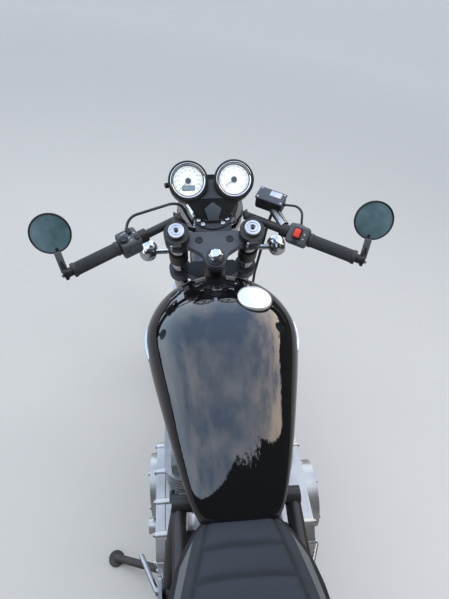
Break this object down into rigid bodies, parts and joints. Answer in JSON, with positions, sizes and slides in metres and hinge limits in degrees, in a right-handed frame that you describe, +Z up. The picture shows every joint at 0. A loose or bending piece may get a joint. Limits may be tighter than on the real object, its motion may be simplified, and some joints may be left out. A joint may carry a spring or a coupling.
{
  "type": "cafe racer motorcycle",
  "caption": "Air-cooled parallel-twin cafe racer motorcycle with clip-on bars, round clocks and bar-end mirrors, parked on its side stand.",
  "frame": {"origin": "middle of the footprint box, on the floor the tyres and the side stand rest on", "axes": "+X forward, +Y to the rider's left, +Z up; the machine leans 9 degrees to the left on its stand"},
  "size_m": [2.1576, 0.8406, 1.0929],
  "materials": {
    "black_paint": "deep gloss black paint",
    "frame_black": "satin black enamel",
    "cast_alloy": "cast, lightly polished",
    "chrome": "bright chrome",
    "steel": "machined steel",
    "tyre_rubber": "worn tread rubber",
    "grip_rubber": "moulded rubber",
    "black_plastic": "grained black plastic",
    "saddle_cover": "woven and smooth cover",
    "lamp_red": "clear red plastic",
    "mirror_glass": "mirror glass in a black shell",
    "lamp_glass": "fluted clear glass",
    "dial_white": "white dials in chrome rings"
  },
  "bodies": {
    "frame": {"frame_spine": "frame_black", "frame_cradles": "frame_black", "seat_rails": "frame_black", "crankcase": "cast_alloy", "cylinder_block": "cast_alloy", "cylinder_head": "cast_alloy", "engine_covers": "cast_alloy", "carburettors": "cast_alloy", "airbox": "black_plastic", "header_pipes": "chrome", "silencers": "chrome", "swingarm": "frame_black", "chain_adjusters": "cast_alloy", "rear_axle": "steel", "rear_shocks": "chrome", "rear_caliper": "frame_black", "drive_chain": "steel", "footrests": "cast_alloy", "fuel_tank": "black_paint", "fuel_cap": "steel", "saddle": "saddle_cover", "rear_mudguard": "black_paint", "rear_lamps": "lamp_red", "plate_bracket": "frame_black"},
    "fork": {"fork_tubes": "chrome", "fork_sliders": "cast_alloy", "top_yoke": "frame_black", "bottom_yoke": "frame_black", "clip_ons": "frame_black", "grips": "grip_rubber", "switch_housings": "black_plastic", "lever_sets": "cast_alloy", "mirrors": "mirror_glass", "instruments": "black_plastic", "instrument_bezels": "dial_white", "headlamp_bowl": "chrome", "headlamp_lens": "lamp_glass", "headlamp_brackets": "frame_black", "front_indicators": "chrome", "front_mudguard": "black_paint", "front_caliper": "frame_black", "front_axle": "steel", "brake_hose": "grip_rubber", "switch_looms": "grip_rubber"},
    "front_wheel": {"front_tyre": "tyre_rubber", "front_wheel": "chrome", "front_disc": "steel"},
    "rear_wheel": {"rear_tyre": "tyre_rubber", "rear_wheel": "chrome", "rear_disc": "steel", "rear_sprocket": "steel"},
    "side_stand": {"side_stand": "frame_black"}
  },
  "joints": [
    {"name": "steering", "type": "hinge", "parent": "frame", "child": "fork", "pos_m": [0.4762, -0.03966, 0.74027], "axis": [-0.454, 0.1394, 0.88], "range_deg": [-30, 30]},
    {"name": "front_wheel_spin", "type": "hinge", "parent": "fork", "child": "front_wheel", "pos_m": [0.75982, -0.10669, 0.31711], "axis": [0, 0.9877, -0.1564], "continuous": true},
    {"name": "rear_wheel_spin", "type": "hinge", "parent": "frame", "child": "rear_wheel", "pos_m": [-0.73018, -0.10653, 0.31809], "axis": [0, 0.9877, -0.1564], "continuous": true},
    {"name": "side_stand_fold", "type": "hinge", "parent": "frame", "child": "side_stand", "pos_m": [-0.09018, -0.00191, 0.14763], "axis": [0.0687, 0.5917, 0.8033], "range_deg": [0, 106.5]}
  ]
}
